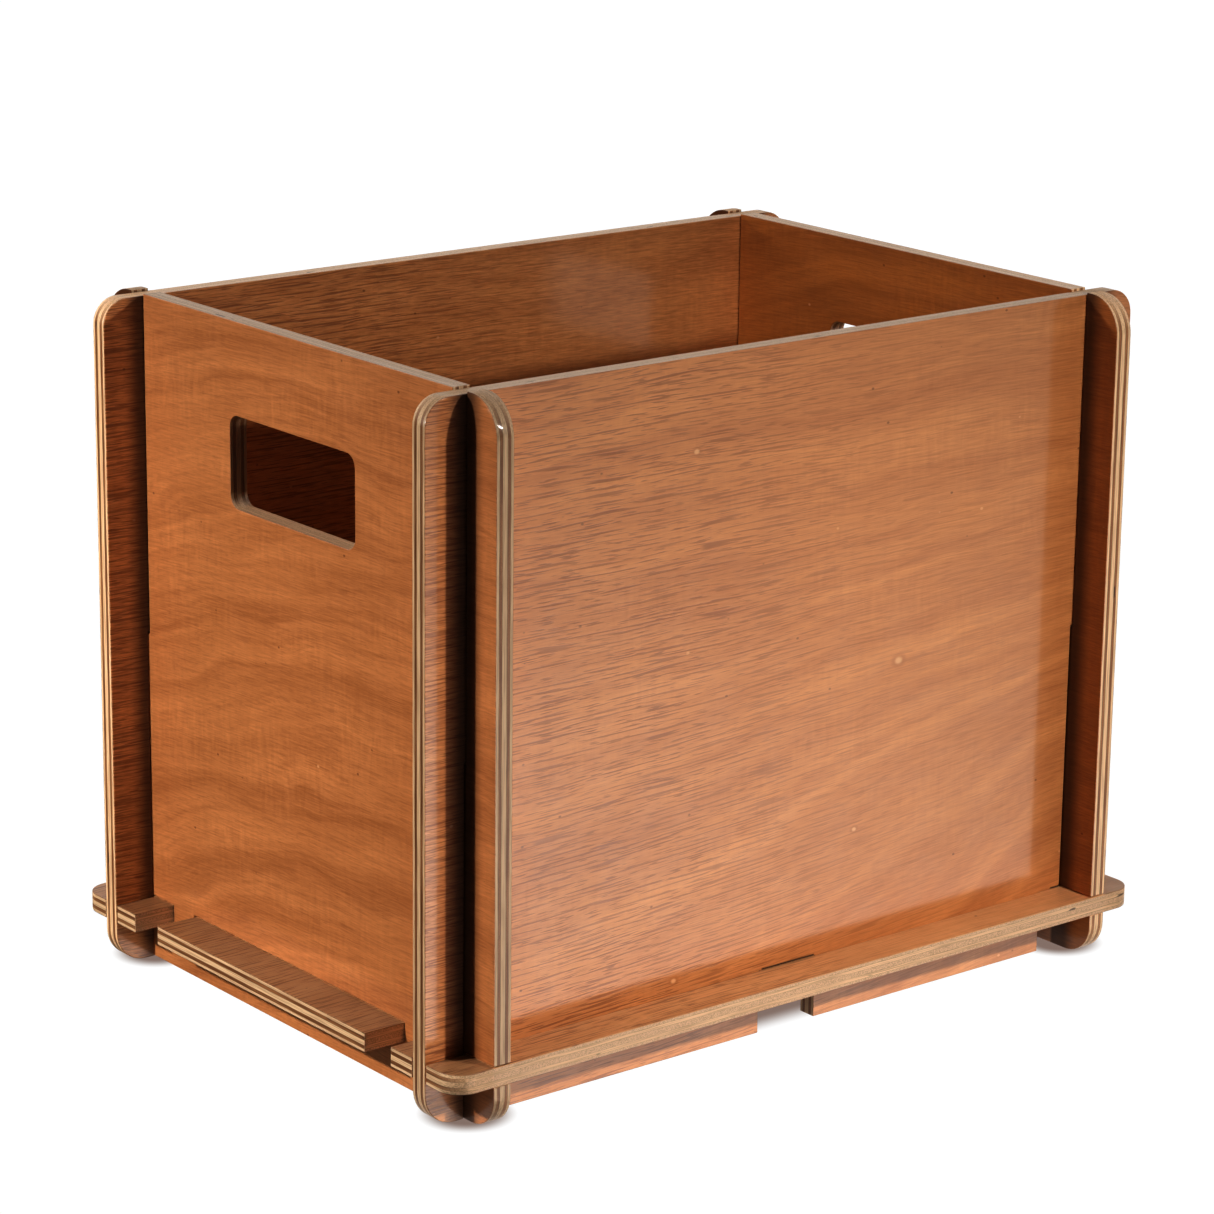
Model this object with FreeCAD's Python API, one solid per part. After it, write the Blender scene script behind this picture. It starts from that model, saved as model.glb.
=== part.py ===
import FreeCAD, Part
import os

# A flat-pack plywood crate: five panels that slot together with no glue and no fasteners.
# The bottom panel runs through both end panels, and the two long sides drop over the ends
# and lock everything. Millimetres. X is along the long sides, Y is across them, +Z is up,
# and the origin is the centre of the footprint, on the floor.

# Driving dimensions
LENGTH = 400.0             # along X, over the ears
WIDTH = 293.0              # along Y, over the ears
HEIGHT = 315.0             # floor to the top of the end panels
PLY = 9.0                  # thickness of every panel
EAR = 20.5                 # how far a panel reaches past the wall that it crosses
SIDE_DROP = 1.0            # the long sides end this far below the end panels
BOTTOM_LIFT = 20.5         # floor to the underside of the bottom panel
END_RADIUS = 17.0          # upper outer corners of the end panels
SIDE_RADIUS = 12.0         # upper outer corners of the long sides
FOOT_RADIUS = 15.5         # lower outer corners of the ends and the sides
BOTTOM_RADIUS = 11.5       # outer corners of the bottom panel

# Joint details
SLOT_GAP = 0.5             # play beside a panel in its slot
TAB_GAP = 0.15             # play beside a long side's tab in the bottom panel
MORTISE_GAP = 1.0          # play at the ends of a mortise
CUTTER_RADIUS = 1.0        # inner corners of the slots in the end panels
BLOCK_REACH = 25.0         # from a long side's outer face to the end of the bottom's corner
TAB_INSET = 44.0           # from a long side's outer face to the bottom's wide tab
SIDE_TAB_INSET = 22.5      # from an end panel's outer face to the nearest tab of a side
SIDE_TAB_SPLIT = 33.0      # between the two tabs of a long side

# Hand hole
HOLE_WIDTH = 95.0
HOLE_HEIGHT = 42.0
HOLE_TOP = 42.0            # from the top edge of the end panel down to the hole
HOLE_RADIUS = 6.0

# Positions that follow from them
HALF_LENGTH = LENGTH / 2
HALF_WIDTH = WIDTH / 2
END_OUT = HALF_LENGTH - EAR            # outer face of an end panel, in X
END_IN = END_OUT - PLY
SIDE_OUT = HALF_WIDTH - EAR            # outer face of a long side, in Y
SIDE_IN = SIDE_OUT - PLY
BOTTOM_TOP = BOTTOM_LIFT + PLY
SIDE_TOP = HEIGHT - SIDE_DROP
LAP_HEIGHT = HEIGHT / 2                # where the slots of a side and an end meet
BLOCK_END = SIDE_OUT - BLOCK_REACH
WIDE_TAB_HALF = SIDE_OUT - TAB_INSET
SIDE_TAB_START = SIDE_TAB_SPLIT / 2
SIDE_TAB_END = END_OUT - SIDE_TAB_INSET
HOLE_MIDDLE = HEIGHT - HOLE_TOP - HOLE_HEIGHT / 2
BEYOND = 5.0                           # how far a cut runs past an open edge
ALONG_X = FreeCAD.Vector(1, 0, 0)
ALONG_Y = FreeCAD.Vector(0, 1, 0)
ALONG_Z = FreeCAD.Vector(0, 0, 1)
PARALLEL = 0.999                       # cosine above which an edge counts as running along


def box(x, y, z):
    """A box from three (low, high) pairs, given in any order."""
    low = [min(pair) for pair in (x, y, z)]
    size = [abs(pair[1] - pair[0]) for pair in (x, y, z)]
    return Part.makeBox(*size, FreeCAD.Vector(*low))


def edges_along(solid, direction):
    """The solid's edges that run along a direction."""
    return [e for e in solid.Edges if abs(e.tangentAt(e.FirstParameter).dot(direction)) > PARALLEL]


def rounded(solid, direction, radius):
    """Rounds every edge of the solid that runs along a direction."""
    return solid.makeFillet(radius, edges_along(solid, direction))


def board(x, y, z, direction, top_radius):
    """An upright board: the two upper corners have their own radius, and the lower two the feet's."""
    solid = box(x, y, z)
    upper = [e for e in edges_along(solid, direction) if e.CenterOfMass.z > LAP_HEIGHT]
    solid = solid.makeFillet(top_radius, upper)
    lower = [e for e in edges_along(solid, direction) if e.CenterOfMass.z < LAP_HEIGHT]
    return solid.makeFillet(FOOT_RADIUS, lower)


def mirrored_pairs(low, high):
    """The same stretch on both sides of the middle."""
    return [(low, high), (-high, -low)]


def write(node, shape):
    """Writes one panel to its STEP file, after checking that it is one sound solid."""
    shape = shape.removeSplitter()
    solid = shape.Solids[0]
    assert len(shape.Solids) == 1 and solid.isValid(), node
    solid.exportStep(f"parts/{node}.step")
    print(node, "volume cm3", round(solid.Volume / 1000, 1))


def long_side(y):
    """A long side whose faces lie at the two Y values. It has a slot open at the bottom for each
    end panel, two tabs that go through the bottom panel, and a foot outside each end panel."""
    panel = board((-HALF_LENGTH, HALF_LENGTH), y, (0, SIDE_TOP), ALONG_Y, SIDE_RADIUS)
    through = (min(y) - BEYOND, max(y) + BEYOND)
    cuts = [box((-SIDE_TAB_START, SIDE_TAB_START), through, (-BEYOND, BOTTOM_TOP))]
    for slot in mirrored_pairs(END_IN - SLOT_GAP, END_OUT + SLOT_GAP):
        cuts.append(box(slot, through, (-BEYOND, LAP_HEIGHT + SLOT_GAP)))
    for bridge in mirrored_pairs(SIDE_TAB_END, END_OUT):
        cuts.append(box(bridge, through, (-BEYOND, BOTTOM_TOP)))
    return panel.cut(cuts)


def end_panel(x):
    """An end panel whose faces lie at the two X values. It has a slot open at the top for each
    long side, a slot at each lower corner and a mortise between them for the bottom panel, and
    a hand hole. Two narrow necks join its lower rail to the rest."""
    panel = board(x, (-HALF_WIDTH, HALF_WIDTH), (0, HEIGHT), ALONG_X, END_RADIUS)
    through = (min(x) - BEYOND, max(x) + BEYOND)
    bottom_space = (BOTTOM_LIFT, BOTTOM_TOP + SLOT_GAP)
    mortise_half = WIDE_TAB_HALF + MORTISE_GAP
    mortise = rounded(box(through, (-mortise_half, mortise_half), bottom_space), ALONG_X, CUTTER_RADIUS)
    hole_levels = (HOLE_MIDDLE - HOLE_HEIGHT / 2, HOLE_MIDDLE + HOLE_HEIGHT / 2)
    hole = rounded(box(through, (-HOLE_WIDTH / 2, HOLE_WIDTH / 2), hole_levels), ALONG_X, HOLE_RADIUS)
    cuts = [mortise, hole]
    for slot in mirrored_pairs(SIDE_IN - SLOT_GAP, SIDE_OUT + SLOT_GAP):
        cuts.append(box(through, slot, (LAP_HEIGHT - SLOT_GAP, HEIGHT + BEYOND)))
    for corner in mirrored_pairs(BLOCK_END - MORTISE_GAP, HALF_WIDTH + BEYOND):
        cuts.append(rounded(box(through, corner, bottom_space), ALONG_X, CUTTER_RADIUS))
    return panel.cut(cuts)


def bottom_panel():
    """The bottom panel. Each end has a wide tab for the mortise, a notch beside it for each neck
    of the end panel, and a notch for each long side's foot. Four slots take the sides' tabs."""
    levels = (BOTTOM_LIFT, BOTTOM_TOP)
    blank = box((-HALF_LENGTH, HALF_LENGTH), (-HALF_WIDTH, HALF_WIDTH), levels)
    panel = rounded(blank, ALONG_Z, BOTTOM_RADIUS)
    through = (BOTTOM_LIFT - BEYOND, BOTTOM_TOP + BEYOND)
    cuts = []
    necks = mirrored_pairs(WIDE_TAB_HALF, BLOCK_END)
    for end in mirrored_pairs(END_IN - SLOT_GAP, HALF_LENGTH + BEYOND):
        cuts += [box(end, neck, through) for neck in necks]
    feet = mirrored_pairs(SIDE_IN - SLOT_GAP, SIDE_OUT + SLOT_GAP)
    for end in mirrored_pairs(END_OUT, HALF_LENGTH + BEYOND):
        cuts += [box(end, foot, through) for foot in feet]
    sides = mirrored_pairs(SIDE_IN - TAB_GAP, SIDE_OUT + TAB_GAP)
    for tab in mirrored_pairs(SIDE_TAB_START - SLOT_GAP, SIDE_TAB_END + SLOT_GAP):
        cuts += [box(tab, side, through) for side in sides]
    return panel.cut(cuts)


os.makedirs("parts", exist_ok=True)
write("bottom_panel", bottom_panel())
write("left_end", end_panel((-END_OUT, -END_IN)))
write("right_end", end_panel((END_IN, END_OUT)))
write("front_side", long_side((-SIDE_OUT, -SIDE_IN)))
write("back_side", long_side((SIDE_IN, SIDE_OUT)))
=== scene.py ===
import math
import bpy
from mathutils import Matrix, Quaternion, Vector


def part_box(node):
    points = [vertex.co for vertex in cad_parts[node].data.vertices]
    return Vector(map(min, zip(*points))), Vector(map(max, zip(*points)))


# A flat-pack plywood crate on a white studio floor. The five panels are the CAD nodes themselves:
# each gets softened edges and its own plywood, a solid pattern of seven plies with a different
# veneer on its two faces. Lengths are in metres, except inside the plywood, where they are in
# millimetres.

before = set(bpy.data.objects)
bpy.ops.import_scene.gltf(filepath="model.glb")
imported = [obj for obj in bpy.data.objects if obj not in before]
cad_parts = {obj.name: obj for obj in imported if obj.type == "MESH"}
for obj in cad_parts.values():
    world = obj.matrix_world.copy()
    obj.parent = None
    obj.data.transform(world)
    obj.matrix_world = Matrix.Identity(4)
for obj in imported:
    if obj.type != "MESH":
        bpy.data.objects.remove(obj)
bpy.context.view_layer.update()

# Camera
CAMERA_AT = (-1.1308, -1.4079, 0.6757)
CAMERA_AIM = (-0.0030, 0.0024, 0.1663)
CAMERA_ROLL = 0.704
CAMERA_LENS = 120.47

# Lights
KEY_AT = (0.12, -0.74, 0.48)
SIDE_AT = (-0.80, 0.08, 0.47)
GLOSS_POOL = (-0.34, -0.60)
GLOSS = 17.5
FLOOR_IMAGE = 1.0
CARD_AT = -1.626

EDGE_ROUNDING = 0.00035
MM = 1000.0
THICKNESS = 9.0


def colour(red, green, blue):
    """A linear colour from the 0 to 255 values that a colour picker shows."""
    parts = [c / 255 for c in (red, green, blue)]
    linear = [c / 12.92 if c <= 0.04045 else ((c + 0.055) / 1.055) ** 2.4 for c in parts]
    return (*linear, 1.0)


class Shader:
    """Adds nodes to one material and links them, so that a pattern reads as a few lines."""

    def __init__(self, tree):
        self.tree = tree
        self.tree.nodes.clear()

    def node(self, kind, inputs=(), **settings):
        made = self.tree.nodes.new(kind)
        for name, value in settings.items():
            setattr(made, name, value)
        for key, value in dict(inputs).items():
            if isinstance(value, bpy.types.NodeSocket):
                self.tree.links.new(value, made.inputs[key])
            else:
                made.inputs[key].default_value = value
        return made

    def math(self, operation, *values, clamp=False):
        made = self.node("ShaderNodeMath", dict(enumerate(values)), operation=operation, use_clamp=clamp)
        return made.outputs[0]

    def add(self, *terms):
        total = terms[0]
        for term in terms[1:]:
            total = self.math("ADD", total, term)
        return total

    def multiply(self, *terms):
        total = terms[0]
        for term in terms[1:]:
            total = self.math("MULTIPLY", total, term)
        return total

    def centred(self, value, amount):
        """A 0 to 1 value made to swing by the amount either side of zero."""
        return self.multiply(self.math("SUBTRACT", value, 0.5), 2 * amount)

    def ranged(self, value, low, high, to_low=0.0, to_high=1.0, smooth=True):
        kind = "SMOOTHSTEP" if smooth else "LINEAR"
        inputs = {"Value": value, "From Min": low, "From Max": high, "To Min": to_low, "To Max": to_high}
        return self.node("ShaderNodeMapRange", inputs, interpolation_type=kind).outputs["Result"]

    def noise(self, x, y, z, detail=2.0, roughness=0.5, distortion=0.0):
        place = self.node("ShaderNodeCombineXYZ", {0: x, 1: y, 2: z}).outputs[0]
        inputs = {"Vector": place, "Scale": 1.0, "Detail": detail, "Roughness": roughness,
                  "Distortion": distortion}
        return self.node("ShaderNodeTexNoise", inputs).outputs["Fac"]

    def specks(self, x, y, z, size, share):
        """Round specks, one at most in each cell, in the given share of the cells."""
        place = self.node("ShaderNodeCombineXYZ", {0: x, 1: y, 2: z}).outputs[0]
        cells = self.node("ShaderNodeTexVoronoi", {"Vector": place, "Scale": 1.0})
        chosen = self.node("ShaderNodeSeparateColor", {0: cells.outputs["Color"]}).outputs[0]
        dot = self.ranged(cells.outputs["Distance"], size, size * 0.4)
        return self.multiply(dot, self.math("LESS_THAN", chosen, share))

    def mixed(self, factor, a, b, blend="MIX"):
        made = self.node("ShaderNodeMix", data_type="RGBA", blend_type=blend)
        for key, value in ((0, factor), (6, a), (7, b)):
            if isinstance(value, bpy.types.NodeSocket):
                self.tree.links.new(value, made.inputs[key])
            else:
                made.inputs[key].default_value = value
        return made.outputs[2]


def veneer(s, u, v, other_face, look):
    """The face veneer's colour, and its height for the bump, from the place on the face."""
    layer = s.add(s.multiply(other_face, 37.0), look["seed"] * 11.0)
    start = look["bend_from"]
    run = s.multiply(s.math("SUBTRACT", u, start), look["towards"])
    rise = s.add(s.multiply(run, look["slope"]), s.multiply(run, run, look["bend"]))
    settled = s.ranged(v, look["level_above"], look["level_above"] - 190.0)
    drift = s.centred(s.noise(s.multiply(u, 1 / 95), s.multiply(v, 1 / 60), layer), 16.0)
    band = s.add(s.math("SUBTRACT", v, s.multiply(rise, settled)), drift)
    fibre_line = s.add(v, s.multiply(drift, 0.12), s.multiply(rise, settled, -0.2))

    # growth bands, broad and narrow
    broad = s.noise(s.multiply(u, 1 / 260), s.multiply(band, 1 / 17), layer, detail=2.0)
    narrow = s.noise(s.multiply(u, 1 / 120), s.multiply(band, 1 / 4.2), layer, detail=3.0, roughness=0.6)
    tone = s.add(s.centred(broad, look["bands"]), s.centred(narrow, look["bands"] * look["narrow"]))
    # patches of tone, and the slanting shimmer of interlocked grain
    patch = s.noise(s.multiply(u, 1 / 60), s.multiply(v, 1 / 34), layer, detail=1.0)
    ribbon = s.noise(s.multiply(u, 1 / 3.4), s.multiply(v, 1 / 17), layer, detail=3.0, distortion=0.5)
    ribbon_here = s.ranged(patch, 0.40, 0.68, look["ribbon"] * 0.3, look["ribbon"])
    tone = s.add(tone, s.centred(patch, 0.12), s.multiply(s.centred(ribbon, 1.6), ribbon_here))
    # fibres, and the pores cut lengthwise, which are short dark strokes
    fibre = s.noise(s.multiply(u, 1 / 24), s.multiply(fibre_line, 1 / 0.7), layer, detail=3.0, roughness=0.7)
    tone = s.add(tone, s.centred(fibre, 0.42))
    length = look["pore_length"]
    stroke = s.noise(s.multiply(u, 1 / (0.4 * length)), s.multiply(fibre_line, 1 / 0.75), layer, detail=1.0)
    long_stroke = s.noise(s.multiply(u, 1 / length), s.multiply(fibre_line, 1 / 1.0), layer, detail=0.0)
    where = s.noise(s.multiply(u, 1 / 90), s.multiply(band, 1 / 8), s.add(layer, 3.0), detail=2.0)
    side = s.ranged(run, look["pores_fade"][0], look["pores_fade"][1], 1.0, 0.25)
    density = s.multiply(s.ranged(where, 0.36, 0.60, 0.75, 1.0), side)
    pores = s.math("MAXIMUM", s.ranged(stroke, 0.56, 0.67), s.ranged(long_stroke, 0.57, 0.68))
    pores = s.multiply(pores, density, look["pores"])
    # the coarse ripple near the panel's ends, where the grain dives
    ripple = s.noise(s.multiply(u, 1 / 9), s.multiply(s.add(v, s.multiply(u, look["ripple_slope"])), 1 / 1.1),
                     layer, detail=3.0, roughness=0.6, distortion=0.3)
    rippled = s.ranged(s.math("ABSOLUTE", s.math("SUBTRACT", u, 0.0)), look["ripple_from"],
                       look["ripple_from"] + 25.0, look["ripple_all"], look["ripple_end"])
    ripple_tone = s.multiply(s.centred(ripple, 0.75), rippled)
    tone = s.add(tone, ripple_tone)

    shade = s.mixed(s.ranged(tone, -0.55, 0.55, smooth=False), look["dark"], look["light"])
    shade = s.mixed(s.multiply(pores, 0.60), shade, look["pore"])
    # pin specks, dark and light, and a few small light knots
    pins = s.specks(s.multiply(u, 1 / 10), s.multiply(v, 1 / 7), layer, 0.11, 0.16)
    shade = s.mixed(s.multiply(pins, 0.55), shade, colour(86, 42, 20))
    sparks = s.specks(s.multiply(u, 1 / 21), s.multiply(v, 1 / 15), s.add(layer, 5.0), 0.06, 0.30)
    shade = s.mixed(s.multiply(sparks, 0.5), shade, colour(240, 190, 140))
    height = s.add(s.multiply(pores, -0.6), s.multiply(fibre, 0.4), s.multiply(ripple_tone, 0.8))
    this_face = s.math("SUBTRACT", 1.0, other_face)
    # Painted shadow: a thin dark line on this face just above the bottom panel, over each listed span.
    low = s.multiply(s.ranged(v, 30.7, 30.1), this_face)
    for first, last in look["gap_shadows"]:
        gap = s.multiply(low, s.ranged(u, first - 0.5, first + 0.5), s.ranged(u, last + 0.5, last - 0.5))
        shade = s.mixed(s.multiply(gap, 0.9), shade, colour(34, 15, 8))
    # painted shade beside the panel that crosses it: the veneer is darker there, where shadow falls
    shaded_joint = 0.0
    for end, fade in zip((-1.0, 1.0), look["joint_shade_fade"]):
        out = s.multiply(u, end)
        beyond = s.ranged(out, look["shaded_joint"] - 1.0, look["shaded_joint"] + 1.0)
        shaded_joint = s.add(s.multiply(beyond, s.ranged(out, look["shaded_joint"] + fade, look["shaded_joint"] + 0.4 * fade)), shaded_joint)
    shaded_joint = s.multiply(shaded_joint, look["joint_shade_depth"])
    shade = s.mixed(shaded_joint, shade, colour(42, 18, 8))
    for across, up, size in look["knots"]:
        knot_x, knot_y = s.math("SUBTRACT", u, across), s.multiply(s.math("SUBTRACT", v, up), 1.35)
        reach = s.math("SQRT", s.add(s.multiply(knot_x, knot_x), s.multiply(knot_y, knot_y)))
        ring = s.multiply(s.ranged(reach, size * 1.7, size * 0.9), this_face)
        eye = s.multiply(s.ranged(reach, size * 0.9, size * 0.3), this_face)
        shade = s.mixed(s.multiply(ring, 0.35), shade, look["dark"])
        shade = s.mixed(s.multiply(eye, 0.6), shade, colour(246, 200, 150))
        height = s.add(height, s.multiply(eye, 0.8))
    return shade, height, shaded_joint


def plies(s, u, v, w, depth, end_along, end_across, layer):
    """The sawn edge's colour and height: cross plies pale, long plies brown where their ends show."""
    waver = s.centred(s.noise(s.multiply(u, 1 / 13), s.multiply(v, 1 / 13), s.add(w, layer), detail=1.0), 0.16)
    ring = s.add(depth, waver)
    long_ply = s.multiply(s.ranged(ring, 1.58, 1.74), s.ranged(ring, 3.36, 3.20))
    long_wood = s.noise(s.multiply(u, 1 / 22), s.multiply(v, 1 / 0.55), s.add(s.multiply(w, 1 / 0.4), layer),
                        detail=3.0, roughness=0.6)
    cross_wood = s.noise(s.multiply(u, 1 / 0.55), s.multiply(v, 1 / 22), s.add(s.multiply(w, 1 / 0.4), layer),
                         detail=3.0, roughness=0.6)
    stain = s.noise(s.multiply(u, 1 / 30), s.multiply(v, 1 / 30), s.add(w, layer), detail=2.0)

    brown = s.mixed(s.ranged(stain, 0.3, 0.7), colour(118, 76, 44), colour(166, 118, 78))
    long_shade = s.mixed(end_along, colour(238, 200, 158), brown)
    cross_shade = s.mixed(end_across, colour(230, 198, 158), colour(226, 188, 150))
    shade = s.mixed(long_ply, cross_shade, long_shade)
    grain = s.mixed(long_ply, cross_wood, long_wood)
    shade = s.mixed(s.ranged(grain, 0.62, 0.32, 0.0, 0.45), shade, colour(120, 76, 44))
    glue = s.math("MAXIMUM", s.ranged(s.math("ABSOLUTE", s.math("SUBTRACT", ring, 1.65)), 0.11, 0.03),
                  s.ranged(s.math("ABSOLUTE", s.math("SUBTRACT", ring, 3.28)), 0.11, 0.03))
    shade = s.mixed(s.multiply(glue, 0.40), shade, colour(96, 56, 32))
    gap = s.noise(s.multiply(u, 1 / 14), s.multiply(v, 1 / 14), s.add(s.multiply(w, 1 / 3), layer), detail=1.0)
    gap = s.multiply(s.ranged(gap, 0.71, 0.77), long_ply)
    shade = s.mixed(s.multiply(gap, 0.8), shade, colour(48, 26, 14))
    height = s.add(s.multiply(grain, 0.5), s.multiply(glue, -0.3), s.multiply(gap, -1.2))
    return shade, height


def plywood(name, along, across, through, face_at, look):
    material = bpy.data.materials.new(name)
    material.use_nodes = True
    s = Shader(material.node_tree)
    coordinates = s.node("ShaderNodeTexCoord").outputs
    place = s.node("ShaderNodeSeparateXYZ", {0: coordinates["Object"]}).outputs
    facing = s.node("ShaderNodeSeparateXYZ", {0: coordinates["Normal"]}).outputs
    u = s.multiply(place[along], MM)
    v = s.multiply(place[across], MM)
    w = s.multiply(s.math("SUBTRACT", place[through], face_at), MM)
    half = THICKNESS / 2
    depth = s.math("SUBTRACT", half, s.math("ABSOLUTE", s.math("SUBTRACT", w, half)))
    other_face = s.math("GREATER_THAN", w, half)

    face, face_height, shaded_joint = veneer(s, u, v, other_face, look)
    end_along = s.multiply(facing[along], facing[along])
    end_across = s.multiply(facing[across], facing[across])
    edge, edge_height = plies(s, u, v, w, depth, end_along, end_across, look["seed"] * 5.0)
    # Each panel's sawn edges are made lighter or darker by its own factor, set for how brightly that panel's edges
    # are lit: painted light and shade.
    edge = s.mixed(1.0, edge, (look["edge"], look["edge"], look["edge"], 1.0), blend="MULTIPLY")
    worn = s.centred(s.noise(s.multiply(u, 1 / 3), s.multiply(v, 1 / 3), w, detail=2.0), 0.10)
    on_edge = s.ranged(s.add(depth, worn), 0.27, 0.36)
    veneer_end = s.multiply(s.ranged(depth, 0.16, 0.30), 0.5)
    face = s.mixed(veneer_end, face, colour(128, 62, 32))
    base = s.mixed(on_edge, face, edge)
    height = s.add(s.multiply(face_height, s.math("SUBTRACT", 1.0, on_edge)), s.multiply(edge_height, on_edge))
    bump = s.node("ShaderNodeBump", {"Strength": 0.5, "Distance": 0.00010, "Height": height}).outputs[0]
    film = s.node("ShaderNodeBump", {"Strength": 0.5, "Distance": 0.00003, "Height": height}).outputs[0]
    varnish = s.noise(s.multiply(u, 1 / 18), s.multiply(v, 1 / 12), w, detail=2.0)
    rough = s.add(s.ranged(varnish, 0.3, 0.7, 0.36, 0.46), s.multiply(on_edge, 0.12))
    tangent = s.node("ShaderNodeTangent", direction_type="RADIAL", axis="XYZ"[across]).outputs[0]
    # The coat is thinner in the painted shade beside a crossing panel, so it shows less sheen there.
    bsdf = s.node("ShaderNodeBsdfPrincipled", {
        "Base Color": base, "Roughness": rough, "IOR": 1.5, "Specular IOR Level": 0.3,
        "Anisotropic": 0.4, "Tangent": tangent, "Coat Weight": s.multiply(s.ranged(on_edge, 0.0, 1.0, 0.7, 0.35), s.ranged(shaded_joint, 0.0, 1.0, 1.0, 0.1)),
        "Coat Roughness": 0.13, "Normal": bump, "Coat Normal": film})
    s.node("ShaderNodeOutputMaterial", {"Surface": bsdf.outputs[0]})
    return material


# Each look gives where the painted shade beside a crossing panel begins, how far it fades and how dark it is.
COMMON = {
    "bend_from": -170.0, "towards": 1.0, "slope": 0.13, "bend": 0.0006, "level_above": 270.0,
    "bands": 0.44, "narrow": 0.35, "ribbon": 0.10, "pores": 1.0, "pore_length": 30.0, "pores_fade": (60.0, 280.0),
    "ripple_slope": 0.12, "ripple_from": 160.0, "ripple_all": 0.10, "ripple_end": 1.0,
    "knots": (), "gap_shadows": (),
    "shaded_joint": 175.0, "joint_shade_fade": (16.0, 16.0), "joint_shade_depth": 0.8, "edge": 1.0,
    "light": colour(230, 166, 108), "dark": colour(168, 104, 58), "pore": colour(122, 66, 34),
}
FRONT = {**COMMON, "seed": 1, "gap_shadows": ((-15, 16), (164, 171)), "edge": 0.95,
         "knots": ((62, 160, 3.4), (-58, 273, 2.3), (38, 85, 1.9), (-66, 36, 2.2))}
# The back side's veneer is paler than the front's, on both faces: painted light for its inner face.
BACK = {**COMMON, "seed": 2, "slope": 0.02, "bend": 0.0003, "ripple_all": 0.6, "bands": 0.34,
        "light": colour(246, 182, 120), "dark": colour(172, 110, 60), "ripple_slope": 0.05, "edge": 1.35}
LEFT = {**COMMON, "seed": 3, "shaded_joint": 121.5, "joint_shade_fade": (18.0, 34.0), "bend_from": 117.0, "towards": -1.0, "slope": 0.38,
        "bend": -0.0009, "level_above": 420.0, "bands": 0.46, "pores": 1.0, "pore_length": 11.0,
        "ribbon": 0.16, "ripple_from": 108.0, "ripple_all": 0.10, "ripple_end": 0.3, "narrow": 0.75,
        "pores_fade": (-300.0, -200.0),
        "light": colour(230, 162, 106), "dark": colour(160, 99, 54), "edge": 0.88}
# The right end's veneer is darker and redder than the left end's, on both faces: painted shade for its inner face,
# which lies in shade.
RIGHT = {**LEFT, "seed": 4, "bands": 0.40, "light": colour(216, 142, 72), "dark": colour(148, 86, 38),
         "edge": 1.3}
BOTTOM = {**COMMON, "seed": 5, "shaded_joint": 179.5, "joint_shade_fade": (60.0, 60.0), "joint_shade_depth": 0.55, "slope": 0.03, "bend": 0.0, "ripple_all": 0.1,
          "ripple_from": 400.0, "edge": 1.04, "light": colour(244, 196, 146), "dark": colour(192, 138, 92)}

PANELS = {
    "front_side": (0, 2, 1, FRONT),
    "back_side": (0, 2, 1, BACK),
    "left_end": (1, 2, 0, LEFT),
    "right_end": (1, 2, 0, RIGHT),
    "bottom_panel": (0, 1, 2, BOTTOM),
}

for node, (along, across, through, look) in PANELS.items():
    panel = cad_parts[node]
    material = plywood(node + "_ply", along, across, through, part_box(node)[0][through], look)
    panel.data.materials.clear()
    panel.data.materials.append(material)
    weld = panel.modifiers.new("weld", "WELD")
    weld.merge_threshold = 1e-6
    flatten = panel.modifiers.new("flatten", "DECIMATE")
    flatten.decimate_type = "DISSOLVE"
    flatten.angle_limit = math.radians(1)
    bevel = panel.modifiers.new("soften", "BEVEL")
    bevel.width = EDGE_ROUNDING
    bevel.segments = 2
    bevel.limit_method = "ANGLE"
    bevel.angle_limit = math.radians(40)
    bevel.harden_normals = True
    bevel.use_clamp_overlap = False


def emitter(name, at, aim, size, watts, glossy=True, spread=180):
    lamp = bpy.data.lights.new(name, "AREA")
    lamp.shape = "DISK"
    lamp.size = size
    lamp.energy = watts
    lamp.spread = math.radians(spread)
    holder = bpy.data.objects.new(name, lamp)
    holder.location = at
    holder.rotation_euler = (Vector(aim) - Vector(at)).to_track_quat("-Z", "Y").to_euler()
    holder.visible_glossy = glossy
    bpy.context.collection.objects.link(holder)
    return holder



def studio_lamp(name, at, aim, wide, narrow):
    """A small hard lamp, brightest in the middle of its beam: two emitters in one place."""
    emitter(name + "_wide", at, aim, 0.04, wide)
    emitter(name + "_narrow", at, aim, 0.04, narrow, spread=90)


studio_lamp("key", KEY_AT, (-0.10, -0.126, -0.20), 2.18, 0.96)
studio_lamp("side", SIDE_AT, (-0.18, 0.0, -0.15), 2.1, 1.3)
emitter("back", (-0.25, 0.95, 0.60), (0, 0.126, 0.16), 0.30, 3.5, glossy=False)
emitter("right", (1.00, 0.10, 0.60), (0.18, 0, 0.16), 0.30, 3.5, glossy=False)
emitter("overhead", (0.0, 0.0, 1.30), (0, 0, 0), 0.10, 0.09, glossy=False, spread=50)
emitter("back_low", (-0.10, 1.10, 0.25), (0, 0.126, 0.15), 0.08, 6.5, glossy=False)
emitter("right_low", (1.10, 0.05, 0.25), (0.18, 0, 0.15), 0.08, 3.3, glossy=False)

# The sky is white for the camera and for reflections, and gives no light of its own.
world = bpy.data.worlds.new("studio")
world.use_nodes = True
sky = Shader(world.node_tree)
upward = sky.node("ShaderNodeSeparateXYZ", {0: sky.node("ShaderNodeTexCoord").outputs["Generated"]}).outputs[2]
background = sky.node("ShaderNodeBackground", {"Color": (1, 1, 1, 1), "Strength": sky.ranged(upward, -0.02, 0.0)})
sky.node("ShaderNodeOutputWorld", {"Surface": background.outputs[0]})
world.cycles_visibility.diffuse = False
bpy.context.scene.world = world


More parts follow.
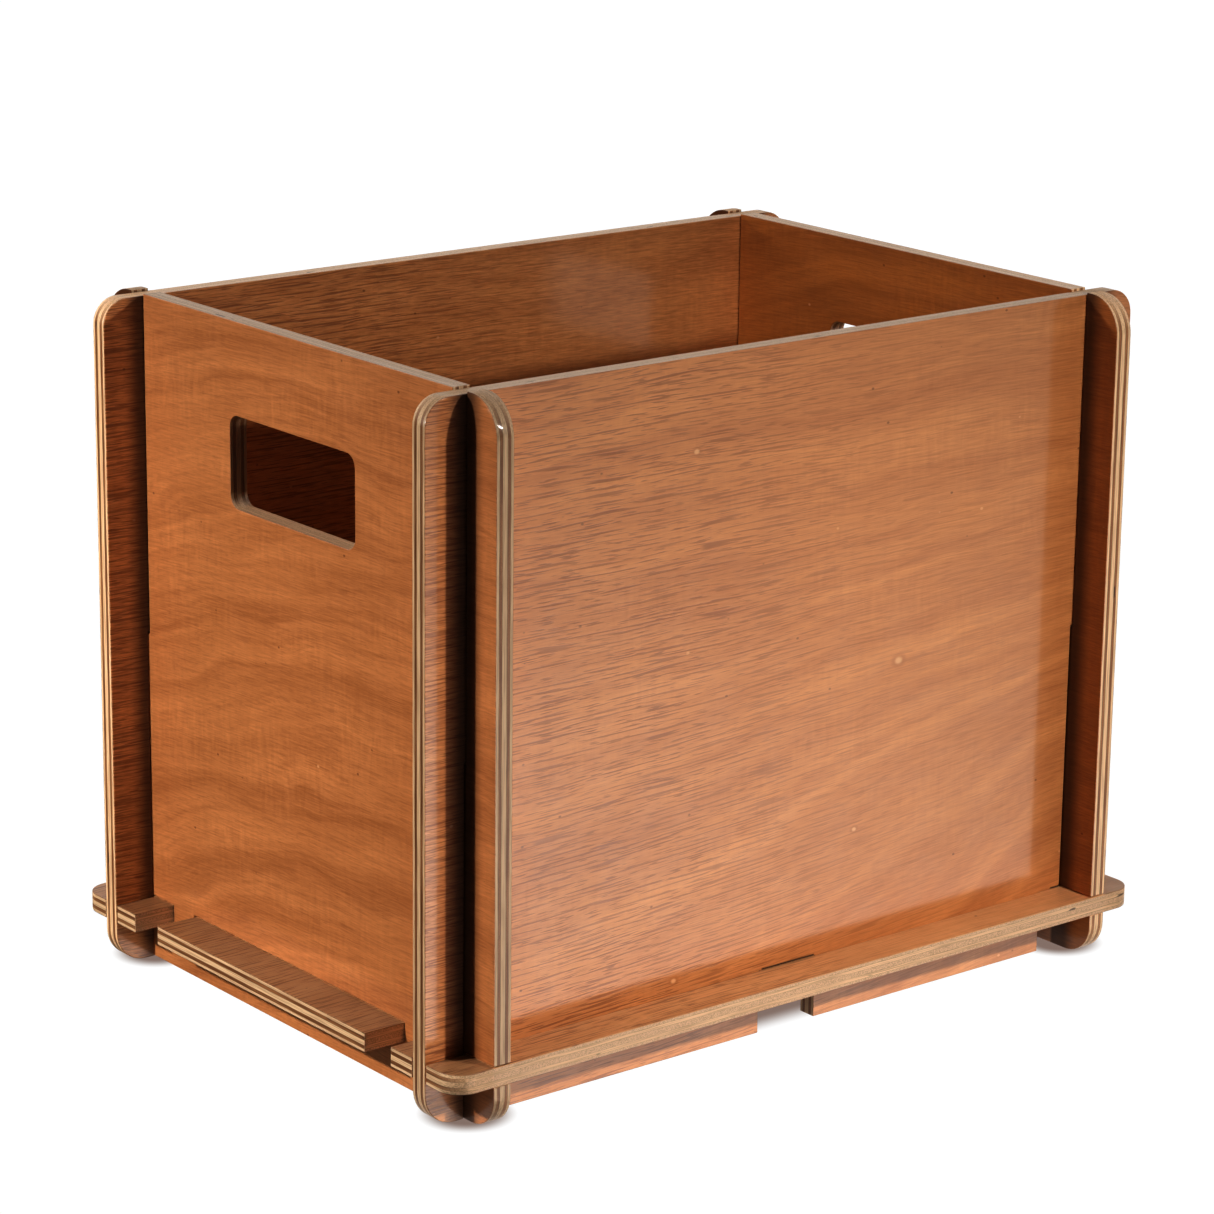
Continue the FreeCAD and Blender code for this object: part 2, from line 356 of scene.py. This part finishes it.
def sheet(name, half, height):
    mesh = bpy.data.meshes.new(name)
    corners = [(-half, -half, 0), (half, -half, 0), (half, half, 0), (-half, half, 0)]
    mesh.from_pydata(corners, [], [(0, 1, 2, 3)])
    material = bpy.data.materials.new(name)
    material.use_nodes = True
    mesh.materials.append(material)
    made = bpy.data.objects.new(name, mesh)
    made.location.z = height
    bpy.context.collection.objects.link(made)
    return made, Shader(material.node_tree)


# The floor is white, with a painted grey shadow only inside the walls and between the arms of each foot.
floor, s = sheet("floor", 8.0, -0.0002)
place = s.node("ShaderNodeSeparateXYZ", {0: s.node("ShaderNodeTexCoord").outputs["Object"]}).outputs
from_end = s.math("SUBTRACT", s.math("ABSOLUTE", place[0]), 0.175)
from_side = s.math("SUBTRACT", s.math("ABSOLUTE", place[1]), 0.1215)
under = s.ranged(s.math("MAXIMUM", from_end, from_side), 0.005, -0.012)
to_foot = s.math("SQRT", s.add(s.multiply(from_end, from_end), s.multiply(from_side, from_side)))
shade = s.math("MAXIMUM", under, s.ranged(to_foot, 0.023, 0.011))
glow = s.node("ShaderNodeEmission", {"Color": s.mixed(shade, (1, 1, 1, 1), colour(160, 142, 134)), "Strength": 1.02})
s.node("ShaderNodeOutputMaterial", {"Surface": glow.outputs[0]})
floor.visible_diffuse = False
floor.visible_glossy = False

# What the varnish reflects. The white floor in front of the crate is seen in it at every angle. A far
# bright card, low in front, is seen only at about the photo's angle: it carries a pool of light, drawn
# where the mirror image of the floor falls on it.
pool, s = sheet("floor_image", 3.0, -0.0004)
place = s.node("ShaderNodeSeparateXYZ", {0: s.node("ShaderNodeTexCoord").outputs["Object"]}).outputs
white = s.node("ShaderNodeEmission", {"Color": (1, 0.97, 0.95, 1), "Strength": s.ranged(place[1], -0.06, -0.13, 0.0, FLOOR_IMAGE)})
clear = s.node("ShaderNodeBsdfTransparent").outputs[0]
both = s.node("ShaderNodeAddShader", {0: white.outputs[0], 1: clear})
s.node("ShaderNodeOutputMaterial", {"Surface": both.outputs[0]})

card, s = sheet("gloss_card", 2.0, 0.0)
front_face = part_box("front_side")[0][1]
mirrored = 2 * front_face - CAMERA_AT[1]
stretch = (mirrored - CARD_AT) / (mirrored - front_face)
card.location = (CAMERA_AT[0] * (1 - stretch), CARD_AT, CAMERA_AT[2] * (1 - stretch))
card.rotation_euler.x = math.radians(90)
place = s.node("ShaderNodeSeparateXYZ", {0: s.node("ShaderNodeTexCoord").outputs["Object"]}).outputs
panel_x, panel_z = s.multiply(place[0], 1 / stretch), s.multiply(place[1], 1 / stretch)
drop = s.math("DIVIDE", CAMERA_AT[2], s.math("MAXIMUM", s.math("SUBTRACT", CAMERA_AT[2], panel_z), 0.05))
floor_x = s.add(s.multiply(s.math("SUBTRACT", panel_x, CAMERA_AT[0]), drop), CAMERA_AT[0])
floor_y = s.add(s.multiply(drop, front_face - mirrored), mirrored)
east, north = s.math("SUBTRACT", floor_x, GLOSS_POOL[0]), s.math("SUBTRACT", floor_y, GLOSS_POOL[1])
away = s.math("SQRT", s.add(s.multiply(east, east), s.multiply(north, north)))
shine = s.multiply(s.math("EXPONENT", s.multiply(away, -1 / 0.33)), GLOSS)
glow = s.node("ShaderNodeEmission", {"Color": (1, 0.96, 0.93, 1), "Strength": shine})
s.node("ShaderNodeOutputMaterial", {"Surface": glow.outputs[0]})
for image in (pool, card):
    image.visible_camera = False
    image.visible_diffuse = False
    image.visible_shadow = False

# The white floor's light close round the crate, which reaches only the feet and the lowest edges.
bounce, s = sheet("floor_bounce", 0.4, -0.0003)
place = s.node("ShaderNodeSeparateXYZ", {0: s.node("ShaderNodeTexCoord").outputs["Object"]}).outputs
outside = s.math("MAXIMUM", s.math("SUBTRACT", s.math("ABSOLUTE", place[0]), 0.18),
                 s.math("SUBTRACT", s.math("ABSOLUTE", place[1]), 0.126))
ring = s.multiply(s.ranged(outside, -0.02, 0.0), s.ranged(outside, 0.07, 0.02))
glow = s.node("ShaderNodeEmission", {"Color": (1, 0.96, 0.93, 1), "Strength": s.multiply(ring, 0.5)})
s.node("ShaderNodeOutputMaterial", {"Surface": glow.outputs[0]})
bounce.visible_camera = False
bounce.visible_glossy = False
bounce.visible_shadow = False

lens = bpy.data.cameras.new("camera")
lens.lens = CAMERA_LENS
lens.sensor_width = 36
camera = bpy.data.objects.new("camera", lens)
camera.location = CAMERA_AT
aim = (Vector(CAMERA_AIM) - Vector(CAMERA_AT)).to_track_quat("-Z", "Y")
camera.rotation_mode = "QUATERNION"
camera.rotation_quaternion = aim @ Quaternion((0, 0, 1), math.radians(CAMERA_ROLL))
bpy.context.collection.objects.link(camera)
bpy.context.scene.camera = camera
bpy.context.scene.view_settings.view_transform = "Standard"
bpy.context.scene.view_settings.gamma = 0.69
